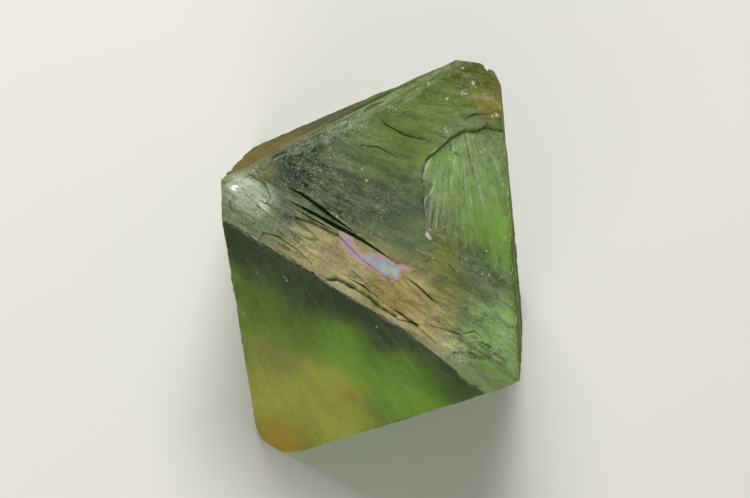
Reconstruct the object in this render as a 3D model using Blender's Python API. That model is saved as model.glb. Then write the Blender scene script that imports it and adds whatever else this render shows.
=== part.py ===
"""A fluorite octahedron about 50 mm long: a single crystal that lies on one of its eight cleavage faces.

A cube is cleaved by eight planes into an octahedron and its corners are worn. Thin flakes that broke
away along the cleavage and two sets of open cracks are then cut out of it. Sizes are in metres, +Z is up
and the origin is on the surface that the crystal rests on, below the middle of its bounding box.
"""

import math
import random

import bmesh
import bpy
from mathutils import Matrix, Vector

MM = 0.001

# Driving dimensions. A plane is (heading, elevation, distance): the heading of its outward normal from
# +X, the normal's tilt above the horizon, in degrees, and its distance from the crystal's centre. The
# sloping faces of an ideal octahedron are tilted by 19.47 degrees.
FACES = {
    "top": (0, 90, 14.4 * MM),
    "front": (-90.6, 19.4, 17.4 * MM),
    "left": (150.9, 19.0, 19.15 * MM),
    "right": (30.1, 19.6, 17.8 * MM),
    "under_left": (-150.2, -19.2, 17.7 * MM),
    "under_right": (-30.1, -19.6, 19.0 * MM),
    "under_back": (90.0, -19.5, 18.8 * MM),
    "rest": (0, -90, 15.5 * MM),
}

# Worn places: the three faces that meet in a sharp corner, the heading and elevation of the worn flat,
# and how far below that corner it lies.
WORN = [
    (("top", "left", "under_back"), 121.8, 35, 0.9 * MM),
    (("top", "right", "under_back"), 37.7, 40, 0.6 * MM),
    (("top", "left", "under_left"), 151.5, 52, 0.45 * MM),
    (("top", "left", "under_left"), -150, 38, 0.6 * MM),
    (("top", "front", "under_right"), -84.5, 44.6, 1.2 * MM),
    (("front", "under_right", "rest"), -60, -20, 0.5 * MM),
    (("front", "under_left", "rest"), -122, -18, 0.55 * MM),
    (("right", "under_right", "rest"), -12, -25, 0.5 * MM),
    (("left", "under_back", "rest"), 110, -30, 0.6 * MM),
]

CUBE_SIZE = 120 * MM
PLATE_THICKNESS = 4 * MM

# Ledges with a place of their own: the face, the outline on it, the deepest point, that point's depth,
# the heading in which the floor climbs back to the surface, and how far off it gets there. Places on a
# face are (across, up the slope) from the foot of the perpendicular from the crystal's centre, in mm.
LEDGES = [
    # The arc that parts the fibrous middle of the top from its smoother right side.
    ("top", [(8.5, 19.5), (3.0, 17.4), (2.4, 16.2), (1.0, 15.4), (-0.1, 13.3), (-0.7, 11.0), (-1.5, 8.6),
             (-0.9, 6.6), (1.5, 2.3), (3.5, -1.2), (8.5, 4.0), (13.5, 9.4)], (-0.7, 11.0), 0.46, -42, 11.1),
    # Three laths along the ridge between the top and the front.
    ("top", [(-5.2, -14.5), (-4.6, -12.9), (-3.4, -12.2), (-1.3, -12.0), (0.6, -12.0), (2.6, -12.5),
             (5.1, -12.5), (6.5, -14.5)], (0.0, -12.0), 0.32, -90, 3.2),
    ("top", [(5.0, -12.9), (6.9, -12.1), (8.0, -12.1), (11.0, -12.9), (12.5, -14.5), (5.8, -14.5)],
     (7.5, -12.0), 0.35, -95, 2.6),
    ("top", [(-14.4, -11.9), (-12.6, -11.2), (-9.7, -11.5), (-7.2, -12.2), (-6.5, -14.5), (-14.6, -14.5)],
     (-11.5, -11.2), 0.28, -90, 2.8),
    # A broad shallow step below the long cracks, and one across the worn left corner.
    ("top", [(-12.2, -7.9), (-9.8, -7.2), (-6.2, -6.9), (-2.0, -8.2), (1.6, -8.6), (3.2, -8.2), (5.0, -9.3),
             (-1.0, -10.3), (-9.0, -10.0)], (-3.0, -7.4), 0.26, -84, 2.6),
    ("top", [(-19.6, -6.0), (-17.4, -5.9), (-15.8, -7.2), (-15.9, -9.2), (-17.8, -11.2), (-20.8, -9.4)],
     (-16.2, -7.6), 0.3, 188, 4.5),
    # A nick in the blunt corner at the back.
    ("top", [(-1.2, 27.0), (-0.9, 24.7), (-0.3, 24.5), (0.1, 27.0)], (-0.6, 24.5), 0.8, 90, 40.0),
    # One long step across each of the other faces.
    ("left", [(-22.0, 1.5), (-9.0, 2.2), (-6.5, 1.2), (0.5, 1.6), (4.0, 0.6), (22.0, 1.1), (20.0, -4.5),
              (-20.0, -4.0)], (-2.0, 1.6), 0.4, -88, 5.5),
    ("right", [(-22.0, 4.5), (-5.0, 5.6), (-2.5, 4.4), (6.0, 5.0), (9.0, 3.9), (22.0, 4.4), (20.0, -1.0),
               (-20.0, -0.5)], (0.0, 4.9), 0.42, -92, 5.5),
    ("under_left", [(-4.0, 11.0), (-2.8, 3.0), (-4.2, 0.8), (-2.6, -6.0), (2.5, -5.0), (3.0, 9.0)],
     (-3.4, 3.0), 0.36, 2, 5.5),
    ("under_right", [(-8.0, 9.5), (-3.0, 8.2), (1.0, 8.8), (4.5, 7.4), (9.0, 8.3), (8.0, 3.6), (-6.0, 4.2)],
     (1.0, 8.4), 0.38, -90, 4.8),
    ("under_back", [(-12.0, 7.0), (-4.0, 7.9), (-1.5, 6.8), (6.0, 7.4), (12.5, 6.2), (9.0, 1.5), (-9.0, 2.0)],
     (0.0, 7.4), 0.42, -91, 5.4),
]

# Open cracks: the face, the line along the middle, the greatest width, the depth and the lean from the
# face's normal in degrees, all in mm.
CRACKS = [
    ("top", [(-15.2, -4.9), (-12.7, -4.7), (-9.6, -5.0), (-7.4, -5.3), (-4.4, -5.5)], 0.5, 1.3, 19),
    ("top", [(-14.2, -6.4), (-10.8, -6.2), (-7.2, -6.1), (-3.6, -5.9), (2.3, -6.2)], 0.55, 1.5, 19),
    ("top", [(-12.8, -6.9), (-10.6, -6.9), (-8.4, -6.8), (-6.6, -6.7)], 0.22, 0.7, 19),
    ("top", [(3.2, -7.2), (5.4, -7.4), (7.8, -8.0), (9.6, -8.1)], 0.24, 0.8, 19),
    ("top", [(-2.6, -11.4), (-0.4, -11.3), (1.9, -11.6)], 0.3, 0.8, 19),
    ("top", [(3.4, -11.9), (5.6, -12.0), (8.2, -12.4)], 0.28, 0.8, 19),
    ("top", [(-9.4, 10.4), (-7.9, 10.0), (-5.3, 10.1), (-2.0, 11.3)], 0.24, 0.6, 0),
    ("top", [(-9.4, 5.8), (-7.4, 6.6), (-4.4, 6.8)], 0.22, 0.6, 0),
    ("top", [(0.2, 16.2), (0.9, 17.8), (3.0, 19.4)], 0.25, 0.7, 0),
    ("left", [(-6.0, -7.5), (-1.0, -7.1), (4.5, -7.6), (7.5, -7.2)], 0.4, 1.1, 19),
    ("under_back", [(-9.0, -2.5), (-4.0, -1.9), (1.5, -2.3), (5.0, -1.8)], 0.4, 1.2, -19),
    ("under_left", [(4.5, 7.0), (6.5, 2.5), (8.8, -1.2)], 0.35, 1.0, 19),
]

# Groups of narrow flakes that broke away side by side: the face, the middle of the group, its reach
# across and up the slope, the heading of the cleavage that they follow, and how many there are.
FLAKE_GROUPS = [
    ("top", (12.5, -9.5), (4.5, 2.5), 8, 5),
    ("left", (-2.0, 8.5), (8.0, 2.5), 0, 5),
    ("left", (3.0, -6.5), (5.0, 6.0), 60, 5),
    ("right", (1.0, 9.0), (8.0, 2.0), 0, 5),
    ("right", (-2.0, -6.0), (4.0, 6.0), 120, 6),
    ("under_left", (-5.0, -2.0), (4.0, 5.0), 120, 5),
    ("under_left", (3.0, 10.0), (5.0, 3.0), 62, 4),
    ("under_right", (-2.0, -1.0), (5.0, 5.0), 0, 6),
    ("under_right", (6.0, 3.0), (4.0, 4.0), 58, 3),
    ("under_back", (4.0, -5.0), (5.0, 5.0), 60, 5),
    ("under_back", (-7.0, 2.0), (3.5, 6.0), 120, 5),
]
FLAKE_LENGTH = (4.0, 12.0)
FLAKE_WIDTH = (0.5, 1.6)
FLAKE_DEPTH = (0.1, 0.3)
FLAKE_STEPS = 6

# Chips along the edges: their spacing, and the smallest and largest length, width and depth in mm.
CHIP_SPACING = 4.0
CHIP_LENGTH = (0.8, 5.5)
CHIP_WIDTH = (0.2, 1.0)
CHIP_DEPTH = (0.08, 0.36)
CHIP_OVERHANG = 2.0
CHIP_CLIMB = 8.0

SEED = 29


def direction(heading, elevation):
    """Unit vector at a heading and an elevation in degrees."""
    flat = math.cos(math.radians(elevation))
    return Vector((
        flat * math.cos(math.radians(heading)),
        flat * math.sin(math.radians(heading)),
        math.sin(math.radians(elevation)),
    ))


def plane_frame(normal, point):
    """Matrix whose X runs level across a plane, Y up its slope and Z out of it."""
    across = Vector((-normal.y, normal.x, 0))
    if across.length < 1e-6:
        across = Vector((1, 0, 0))
    across.normalize()
    frame = Matrix([across, normal.cross(across), normal]).transposed().to_4x4()
    frame.translation = point
    return frame


def face_frame(name):
    heading, elevation, distance = FACES[name]
    normal = direction(heading, elevation)
    return plane_frame(normal, normal * distance)


def sharp_corner(names):
    """The point where three of the crystal's faces would meet."""
    normals = Matrix([direction(*FACES[name][:2]) for name in names])
    return normals.inverted() @ Vector([FACES[name][2] for name in names])


def cleave(bm, normal, distance):
    """Cut off everything beyond a plane and close the mesh with a flat face."""
    geometry = bm.verts[:] + bm.edges[:] + bm.faces[:]
    cut = bmesh.ops.bisect_plane(
        bm, geom=geometry, dist=1e-7, plane_co=normal * distance, plane_no=normal, clear_outer=True
    )
    rim = [item for item in cut["geom_cut"] if isinstance(item, bmesh.types.BMEdge)]
    bmesh.ops.holes_fill(bm, edges=rim, sides=0)


def octahedron():
    """The crystal's body, with flat faces and worn corners, around its centre."""
    bm = bmesh.new()
    bmesh.ops.create_cube(bm, size=CUBE_SIZE)
    for heading, elevation, distance in FACES.values():
        cleave(bm, direction(heading, elevation), distance)
    for faces, heading, elevation, depth in WORN:
        normal = direction(heading, elevation)
        cleave(bm, normal, normal.dot(sharp_corner(faces)) - depth)
    bmesh.ops.recalc_face_normals(bm, faces=bm.faces)
    return bm


def plate(name, outline, thickness, matrix, collection):
    """A flat cutter: an outline in metres, thickened to both sides of its own XY plane."""
    curve = bpy.data.curves.new(name, "CURVE")
    curve.dimensions = "2D"
    curve.fill_mode = "BOTH"
    curve.extrude = thickness / 2
    spline = curve.splines.new("POLY")
    spline.points.add(len(outline) - 1)
    for point, (x, y) in zip(spline.points, outline):
        point.co = (x, y, 0, 1)
    spline.use_cyclic_u = True
    guide = bpy.data.objects.new(name + "_outline", curve)
    collection.objects.link(guide)
    evaluated = guide.evaluated_get(bpy.context.evaluated_depsgraph_get())
    mesh = bpy.data.meshes.new_from_object(evaluated)
    bpy.data.objects.remove(guide)

    bm = bmesh.new()
    bm.from_mesh(mesh)
    bmesh.ops.remove_doubles(bm, verts=bm.verts, dist=1e-7)
    bmesh.ops.recalc_face_normals(bm, faces=bm.faces)
    bm.to_mesh(mesh)
    bm.free()
    cutter = bpy.data.objects.new(name, mesh)
    cutter.matrix_world = matrix
    cutter.hide_render = True
    cutter.display_type = "WIRE"
    collection.objects.link(cutter)
    return cutter


def ledge(name, frame, outline, deep_point, depth, climb_heading, climb_length, collection):
    """Cut a ledge whose floor climbs from its deepest point back to the face, in mm on the face."""
    heading = math.radians(climb_heading)
    hinge = Vector((-math.sin(heading), math.cos(heading), 0))
    deepest = Vector((*deep_point, -depth)) * MM
    tilt = Matrix.Rotation(-math.atan2(depth, climb_length), 4, hinge)
    floor = Matrix.Translation(deepest) @ tilt @ Matrix.Translation(Vector((*deep_point, 0)) * -MM)
    lift = Matrix.Translation((0, 0, PLATE_THICKNESS / 2))
    points = [(x * MM, y * MM) for x, y in outline]
    return plate(name, points, PLATE_THICKNESS, frame @ floor @ lift, collection)


def crack(name, frame, line, width, depth, lean, collection):
    """Cut a narrow slot along a line on a face, pointed at both ends, in mm on the face."""
    start = Vector(line[0])
    along = (Vector(line[-1]) - start).normalized()
    turn = Matrix.Rotation(-math.atan2(along.y, along.x), 2)
    spine = [turn @ (Vector(point) - start) for point in line]
    span = spine[-1].x
    shoulders = [(x, y, width / 2 * math.sqrt(math.sin(math.pi * x / span))) for x, y in spine[1:-1]]
    lower = [(x, y - half) for x, y, half in shoulders]
    upper = [(x, y + half) for x, y, half in reversed(shoulders)]
    outline = [tuple(spine[0]), *lower, tuple(spine[-1]), *upper]
    matrix = (
        frame
        @ Matrix.Translation((start.x * MM, start.y * MM, 0))
        @ Matrix.Rotation(math.atan2(along.y, along.x), 4, "Z")
        @ Matrix.Rotation(math.radians(lean), 4, "X")
    )
    points = [(x * MM, y * MM) for x, y in outline]
    return plate(name, points, 2 * depth * MM, matrix, collection)


def bow(length, width, rng):
    """A flake's outline: straight along y = -width and stepped along a bow that reaches y = 0."""
    outline = [(-length / 2, -width)]
    for step in range(FLAKE_STEPS):
        across = (step + rng.uniform(0.2, 0.8)) / FLAKE_STEPS
        rise = math.sin(math.pi * across) * rng.uniform(0.6, 1.0)
        outline.append(((across - 0.5) * length, -width * (1 - rise)))
    outline.append((length / 2, -width))
    return outline


def flake_group(group, middle, reach, heading, count, frame, collection, rng):
    """Narrow flakes side by side, each drawn out along the cleavage, some with the ledge turned over."""
    for index in range(count):
        shift = [centre + half * rng.uniform(-1, 1) for centre, half in zip(middle, reach)]
        turn = math.radians(heading + rng.uniform(-5, 5) + rng.choice((0, 0, 180)))
        place = frame @ Matrix.Translation((shift[0] * MM, shift[1] * MM, 0)) @ Matrix.Rotation(turn, 4, "Z")
        width = rng.uniform(*FLAKE_WIDTH)
        outline = bow(rng.uniform(*FLAKE_LENGTH), width, rng)
        depth = rng.uniform(*FLAKE_DEPTH)
        ledge(f"flake_{group}_{index}", place, outline, (0, 0), depth, -90, width, collection)


def graded(limits, grade):
    return limits[0] + (limits[1] - limits[0]) * grade


def edge_chips(bm, collection, rng):
    """Chips along every long edge, each parallel to one of its two faces, with many small and few large."""
    for edge in bm.edges:
        start, end = (vertex.co for vertex in edge.verts)
        faces = [face for face in edge.link_faces if face.normal.z > -0.9]
        pieces = int(edge.calc_length() / (CHIP_SPACING * MM))
        for index in range(1, pieces):
            face = rng.choice(faces)
            along = (end - start).normalized()
            inward = face.normal.cross(along)
            if inward.dot(face.calc_center_median() - start) < 0:
                inward = -inward
                along = -along
            frame = Matrix([along, inward, face.normal]).transposed().to_4x4()
            frame.translation = start.lerp(end, (index + rng.uniform(-0.5, 0.5)) / pieces)
            grade = rng.random() ** 3
            length = graded(CHIP_LENGTH, grade)
            width = graded(CHIP_WIDTH, grade) * rng.uniform(0.7, 1.0)
            depth = graded(CHIP_DEPTH, grade) * rng.uniform(0.7, 1.0)
            outline = [
                (-length / 2, -CHIP_OVERHANG),
                (length / 2, -CHIP_OVERHANG),
                (length / 2, 0),
                (length * rng.uniform(0.1, 0.4), width * rng.uniform(0.4, 1)),
                (-length * rng.uniform(-0.1, 0.3), width),
                (-length / 2, 0),
            ]
            ledge(f"chip_{edge.index}_{index}", frame, outline, (0, width), depth, rng.uniform(-40, 220),
                  CHIP_CLIMB, collection)


def crystal_material():
    material = bpy.data.materials.new("green_fluorite")
    material.use_nodes = True
    shader = material.node_tree.nodes["Principled BSDF"]
    shader.inputs["Base Color"].default_value = (0.16, 0.27, 0.08, 1)
    shader.inputs["Roughness"].default_value = 0.3
    shader.inputs["Metallic"].default_value = 0
    shader.inputs["IOR"].default_value = 1.434
    shader.inputs["Transmission Weight"].default_value = 0.6
    return material


def new_collection(name):
    collection = bpy.data.collections.new(name)
    bpy.context.scene.collection.children.link(collection)
    return collection


def main():
    for item in list(bpy.data.objects):
        bpy.data.objects.remove(item)
    part = new_collection("fluorite_octahedron")
    cutters = new_collection("fluorite_octahedron_cutters")
    rng = random.Random(SEED)

    body = octahedron()
    body.edges.index_update()
    for index, (face, outline, deep_point, depth, heading, length) in enumerate(LEDGES):
        ledge(f"ledge_{index}", face_frame(face), outline, deep_point, depth, heading, length, cutters)
    for index, (face, line, width, depth, lean) in enumerate(CRACKS):
        crack(f"crack_{index}", face_frame(face), line, width, depth, lean, cutters)
    for group, (face, middle, reach, heading, count) in enumerate(FLAKE_GROUPS):
        flake_group(group, middle, reach, heading, count, face_frame(face), cutters, rng)
    edge_chips(body, cutters, rng)

    mesh = bpy.data.meshes.new("fluorite_crystal")
    body.to_mesh(mesh)
    body.free()
    mesh.materials.append(crystal_material())
    crystal = bpy.data.objects.new("fluorite_crystal", mesh)
    part.objects.link(crystal)

    cut = crystal.modifiers.new("cleavage steps", "BOOLEAN")
    cut.operation = "DIFFERENCE"
    cut.solver = "EXACT"
    cut.operand_type = "COLLECTION"
    cut.collection = cutters

    xs, ys, zs = zip(*(vertex.co for vertex in mesh.vertices))
    bottom_centre = Vector(((min(xs) + max(xs)) / 2, (min(ys) + max(ys)) / 2, min(zs)))
    centre = bpy.data.objects.new("crystal_centre", None)
    centre.location = -bottom_centre
    part.objects.link(centre)
    crystal.parent = centre
    for cutter in cutters.objects:
        cutter.parent = centre


main()
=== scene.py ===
"""The looks of a green fluorite octahedron: its cleavage surface as a fine mesh, and its material."""

import math

import bmesh
import bpy
import numpy as np
from mathutils import Matrix, Vector
from mathutils.bvhtree import BVHTree
from mathutils.geometry import delaunay_2d_cdt
from mathutils.kdtree import KDTree


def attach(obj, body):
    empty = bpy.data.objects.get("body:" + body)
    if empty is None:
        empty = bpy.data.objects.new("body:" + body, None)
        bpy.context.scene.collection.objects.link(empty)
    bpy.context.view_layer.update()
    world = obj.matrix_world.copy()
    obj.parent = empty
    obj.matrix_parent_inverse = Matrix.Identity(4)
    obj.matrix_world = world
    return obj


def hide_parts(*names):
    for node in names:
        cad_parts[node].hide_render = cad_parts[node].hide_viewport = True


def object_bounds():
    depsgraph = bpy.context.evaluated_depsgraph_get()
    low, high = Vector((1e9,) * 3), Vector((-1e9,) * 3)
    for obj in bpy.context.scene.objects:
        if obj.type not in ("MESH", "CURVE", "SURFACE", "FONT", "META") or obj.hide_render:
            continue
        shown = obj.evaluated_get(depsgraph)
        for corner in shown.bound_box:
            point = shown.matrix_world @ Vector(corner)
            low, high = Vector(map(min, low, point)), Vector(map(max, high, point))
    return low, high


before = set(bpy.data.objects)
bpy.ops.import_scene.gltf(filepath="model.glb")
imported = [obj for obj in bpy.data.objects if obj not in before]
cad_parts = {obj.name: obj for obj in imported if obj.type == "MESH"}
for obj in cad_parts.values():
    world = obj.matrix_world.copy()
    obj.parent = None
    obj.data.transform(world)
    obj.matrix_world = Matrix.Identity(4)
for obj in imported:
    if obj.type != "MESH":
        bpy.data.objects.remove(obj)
cad_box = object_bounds()

MM = 0.001
NODE = "fluorite_crystal"

# The crystal's centre above the surface it lies on, in mm, and its eight faces: the heading and the
# elevation of each outward normal in degrees, its distance from the centre, and the distance between
# its mesh's points, both in mm.
CENTRE = np.array([-0.07, -0.56, 15.5])
FACES = {
    "top": (0, 90, 14.4, 0.19),
    "front": (-90.6, 19.4, 17.4, 0.27),
    "left": (150.9, 19.0, 19.15, 0.42),
    "right": (30.1, 19.6, 17.8, 0.42),
    "under_left": (-150.2, -19.2, 17.7, 0.45),
    "under_right": (-30.1, -19.6, 19.0, 0.45),
    "under_back": (90.0, -19.5, 18.8, 0.45),
    "rest": (0, -90, 15.5, 1.2),
}

# Triangles of the solid within SAME_PLANE of each other are meshed as one flat region. It belongs to the
# face that it points along, where the cosine between them is above SAME_FACE. Any other region is a
# broken one, and so is a tilted one in the top face's worn rim, from TOP_MARGIN to TOP_RIM mm below the
# face. BROKEN_STEP is the distance between the points on a broken region, in mm.
SAME_PLANE = math.radians(0.4)
SAME_FACE = math.cos(math.radians(13))
TOP_RIM = 2.8
TOP_MARGIN = 0.01
BROKEN_STEP = 0.25

# The lattice inside a region: the height of a row and the shake of a point, in steps, and how many steps
# it keeps clear of the region's rim. Edges sharper than SHARP_EDGE are shaded as creases.
ROW_HEIGHT = 0.866
SHAKE = 0.22
MIN_GAP = 0.55
SHARP_EDGE = math.radians(32)

# The camera looks down at the top face and is rolled. Lengths are in mm and angles in degrees.
AIM = (-1.08, 0.33, 15.92)
CAMERA_HEADING = -92.76
CAMERA_ELEVATION = 63.44
CAMERA_DISTANCE = 356.4
CAMERA_ROLL = 33.13
LENS = 131.03

# Places on a face are (across, up the slope) in mm from the foot of the perpendicular from the centre.

# The arc that parts the fibrous middle of the top face from its smoother right side.
PARTING = [
    (7.5, 20.0), (3.0, 17.4), (1.0, 15.4), (-0.1, 13.3),
    (-1.5, 8.6), (-0.9, 6.6), (1.5, 2.3), (3.5, -1.0),
]

# The cleavage fans out from a point beside each face, and its ledges run along the rays.
FANS = {
    "top": (-70, -6),
    "front": (-55, 42),
    "left": (60, 20),
    "right": (-60, -20),
    "under_left": (10, 70),
    "under_right": (-70, 10),
    "under_back": (40, 60),
    "rest": (-80, 0),
}
FAN_RIGHT_OF_PARTING = (-3, 21)
MIDDLE_RIGHT_OF_PARTING = (9, 5)

# Near the top face's left edge the ledges run straight instead, at EDGE_HEADING degrees. That starts past
# EDGE_SPLIT, which is in mm from the middle and negative to the left.
EDGE_HEADING = 61
EDGE_SPLIT = -12.4

# The three bundles of the top face's fibres: its middle, right of the parting, and along the left edge.
MIDDLE, RIGHT, LEFT_EDGE = range(3)

# A distance in mm that stands for far away.
FAR = 9.0

# Ledges that overlap like slates: width, length and depth in mm. They fade out where bundles meet.
SLATES = [(2.7, 16, 0.14), (1.1, 7, 0.075)]
BUNDLE_BORDER = 1.4
SWELL_DEPTH = 0.05

# How strong each face's relief is, how smooth its fibres look, and how matt it is.
FACE_RELIEF = {"top": 1.0, "front": 0.28, "rest": 0.0}
FACE_SMOOTHNESS = {"top": 0.0, "front": 0.9, "left": 0.1, "right": 0.2, "under_left": 0.5, "rest": 0.5}
FACE_MATTNESS = {"top": 0.0, "front": 0.0, "left": 1.0, "right": 1.0}
OTHER_RELIEF = 0.8
OTHER_SMOOTHNESS = 0.3
OTHER_MATTNESS = 0.4

# Wear along the edges between faces, in mm: how far in it reaches, and how deep it bites.
EDGE_WEAR_REACH = 0.7
EDGE_WEAR_DEPTH = 0.12

# The chalky wear that the top face shows: how far in it reaches from the front edge and from the other
# edges, how strong it is there, and how much of it is gone past the places given across the face.
FRONT_CHALK_REACH = 1.2
OTHER_CHALK_REACH = 1.0
OTHER_CHALK = 0.3
CHALK_FADE = 0.65
CHALK_FADE_PLACES = (8, 14)

# The broken walls in the top face are painted dark as the shade in its grooves, from this height up the face
# and well inside its edges.
GROOVE_FOOT = -8.4
GROOVE_MARGIN = (1.5, 3.0)
GROOVE_PAINTED_SHADE = 0.65

# Places where the ledges are deeper, or shallower: the face, the place, its reach in mm and how much.
ROUGH_PLACES = [
    ("top", (-10, -11), 4.5, 0.7),
    ("top", (0, -12), 5.0, 0.7),
    ("top", (10, -12.5), 5.0, 0.6),
    ("top", (-14, -2), 5.0, 1.0),
    ("top", (-13, 4), 3.0, 0.9),
    ("top", (-8, -2), 4.0, 0.4),
    ("top", (-17, -9), 3.0, 0.8),
    ("top", (-18.5, -11.5), 2.5, 0.6),
    ("top", (3, 19), 5.0, 0.5),
    ("top", (15, -6), 5.0, 0.5),
    ("top", (-5, 11), 4.0, -0.4),
    ("top", (10, 6), 4.0, -0.3),
    ("top", (0.4, 10.5), 1.6, -0.6),
    ("top", (-16.0, 0.5), 2.5, 0.7),
    ("top", (-11.5, 8.0), 2.5, 0.7),
    ("top", (-7.0, 15.0), 2.5, 0.5),
    ("front", (-8, 7), 5.0, 0.8),
    ("front", (8, 7), 5.0, 0.8),
]

# Fine cracks: the face, width and depth in mm, how dark and how white they look, and the line.
CRACKS = [
    ("top", 0.17, 0.036, 0.6, 0.0,
     [(4, 18.7), (3.1, 17.5), (2.5, 16.3), (1, 15.4), (0.4, 14.4), (-0.1, 13.3)]),
    ("top", 0.17, 0.03, 0.6, 0.0,
     [(-0.1, 13.3), (-0.2, 12.1), (-0.7, 11), (-0.9, 9.9), (-1.4, 8.8), (-1.3, 7.8)]),
    ("top", 0.19, 0.06, 0.7, 0.0, [(-1.3, 7.8), (-0.9, 6.6), (0.2, 4.4), (1.6, 2.3), (2.9, -0.1), (3.6, -1)]),
    ("top", 0.14, 0.03, 0.5, 0.0, [(0.1, 16.2), (0.9, 17.8), (3, 19.5)]),
    ("top", 0.2, 0.072, 0.8, 0.0, [(-9.2, 10.4), (-7.9, 10), (-5.3, 10.1), (-2.1, 11.3)]),
    ("top", 0.17, 0.06, 0.7, 0.0, [(-9.3, 5.7), (-7.4, 6.6), (-4.5, 6.8)]),
    ("top", 0.14, 0.048, 0.6, 0.0, [(-0.3, 5.8), (2.2, 6.0)]),
    ("top", 0.17, 0.06, 0.8, 0.0, [(0.1, 12.8), (0.8, 11.8), (1.7, 11.8), (2.9, 11.9)]),
    ("top", 0.17, 0.072, 0.9, 0.0, [(7.6, -2.6), (9.6, -3.2)]),
    ("top", 0.17, 0.072, 0.9, 0.0, [(7, -4.4), (8.4, -4.5)]),
    ("top", 0.19, 0.05, 0.6, 0.0, [(4.5, -7.3), (6.5, -7.6), (7.8, -8), (9.5, -8.1)]),
    ("top", 0.26, 0.084, 0.9, 0.0,
     [(-4.5, -12.9), (-3.4, -12.2), (-1.3, -12), (0.6, -12), (2.6, -12.5), (5.1, -12.5)]),
    ("top", 0.2, 0.072, 0.9, 0.0, [(5.3, -11.8), (6.9, -12), (8, -12.1)]),
    ("top", 0.17, 0.048, 0.6, 0.0, [(11.9, -14), (13.1, -14.1), (15, -14.2), (16, -14.8)]),
    ("top", 0.22, 0.072, 0.8, 0.0, [(-13, -7.0), (-10.6, -7.2), (-8.2, -7.0), (-6.4, -7.2)]),
    ("top", 0.19, 0.048, 0.7, 0.0, [(-12, -12.2), (-9.4, -11.9), (-6.8, -12.3)]),
    ("top", 0.34, 0.0, 0.0, 0.6,
     [(-20.5, -11.5), (-15, -13.2), (-8, -13.8), (-2, -13.9), (4, -14.4), (11, -15)]),
    ("top", 0.3, 0.0, 0.0, 0.65, [(-11.6, -4.9), (-8.5, -4.8), (-6.2, -5.0), (-3.6, -5.6)]),
    ("front", 0.14, 0.0, 0.4, 0.0, [(-13.4, 6.6), (-12.3, 4.8), (-11.2, 3.2)]),
    ("front", 0.14, 0.0, 0.35, 0.0, [(-12.4, 7.0), (-11.3, 5.2), (-10.1, 3.6)]),
    ("front", 0.14, 0.0, 0.3, 0.0, [(-0.6, 7.6), (1.0, 5.0), (2.2, 3.4)]),
]

# Bruised places that look white: the face, the place, its reach in mm and how white. The small ones whiter
# than 1 are white specks whose white also paints their sparkle.
BRUISES = [
    ("top", (-17.8, -8.2), 1.9, 0.8),
    # A painted highlight: the glint on the small tilted facet.
    ("top", (-20.3, -8.6), 0.6, 1.8),
    ("top", (-20.2, -8.6), 1.1, 0.7),
    ("top", (-19.1, -5.2), 1.0, 0.55),
    ("top", (18.3, -7.0), 1.2, 0.5),
    ("top", (18.4, -9.6), 1.6, 0.5),
    ("top", (14.0, -12.6), 2.2, 0.5),
    ("top", (12.4, -4.4), 1.4, 0.4),
    ("top", (8.6, -0.8), 1.2, 0.4),
    ("top", (-13.2, 4.6), 2.4, 0.42),
    ("top", (-12.4, 3.6), 1.2, 0.42),
    ("top", (-9.5, -0.5), 1.6, 0.42),
    ("top", (-1.0, 20.5), 4.5, 0.36),
    ("top", (-12.5, -2.0), 5.5, 0.4),
    ("top", (-3.5, 0.5), 4.0, 0.36),
    ("top", (-15.6, 1.4), 2.4, 0.44),
    ("top", (-11.6, 8.0), 2.6, 0.44),
    ("top", (-8.8, 12.5), 2.4, 0.4),
    ("top", (-9.5, -0.5), 4.0, 0.3),
    ("top", (12.0, -1.0), 3.0, 0.38),
    ("top", (16.5, -8.5), 5.0, 0.38),
    ("top", (-16.0, -11.5), 3.0, 0.38),
    ("top", (0.0, -13.0), 3.0, 0.28),
    ("top", (-3.3, 22.9), 0.2, 1.3),
    ("top", (-1.1, 21.9), 0.3, 1.1),
    ("top", (-3.0, 17.8), 0.2, 1.2),
    ("top", (-6.1, 18.4), 0.2, 1.1),
    ("top", (-1.6, 19.7), 0.45, 0.8),
    ("top", (-1.2, 19.9), 0.2, 1.1),
    ("top", (3.6, 19.6), 0.25, 1.1),
    ("top", (3.2, 19.1), 0.3, 0.8),
    ("top", (-0.9, 13.9), 1.0, 0.5),
    ("top", (-7.8, 2.7), 0.2, 1.1),
    ("top", (-6.6, 1.6), 0.22, 1.1),
    ("top", (5.5, -3.0), 0.2, 1.1),
    ("top", (3.4, 0.3), 0.2, 1.2),
    ("top", (3.5, -0.6), 0.35, 1.5),
    ("top", (4.0, -0.9), 0.3, 1.4),
    ("top", (10.9, 1.7), 0.2, 1.0),
    ("top", (14.2, -0.3), 0.15, 1.4),
    ("top", (15.0, 0.8), 0.15, 1.4),
    ("top", (12.7, -1.0), 0.2, 0.9),
    ("front", (-9.2, 5.9), 0.2, 1.2),
    ("front", (-8.7, 5.5), 0.25, 0.9),
    ("front", (-12.3, 4.0), 0.15, 1.0),
    ("front", (-8.6, -4.4), 0.2, 1.1),
    ("front", (-2.0, -9.1), 0.15, 1.0),
    ("front", (3.9, 6.8), 0.22, 1.3),
    ("front", (3.5, -4.3), 0.15, 1.0),
    ("front", (-14.0, 1.5), 0.8, 0.42),
    ("front", (-11.4, -3.6), 0.8, 0.45),
]

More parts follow.
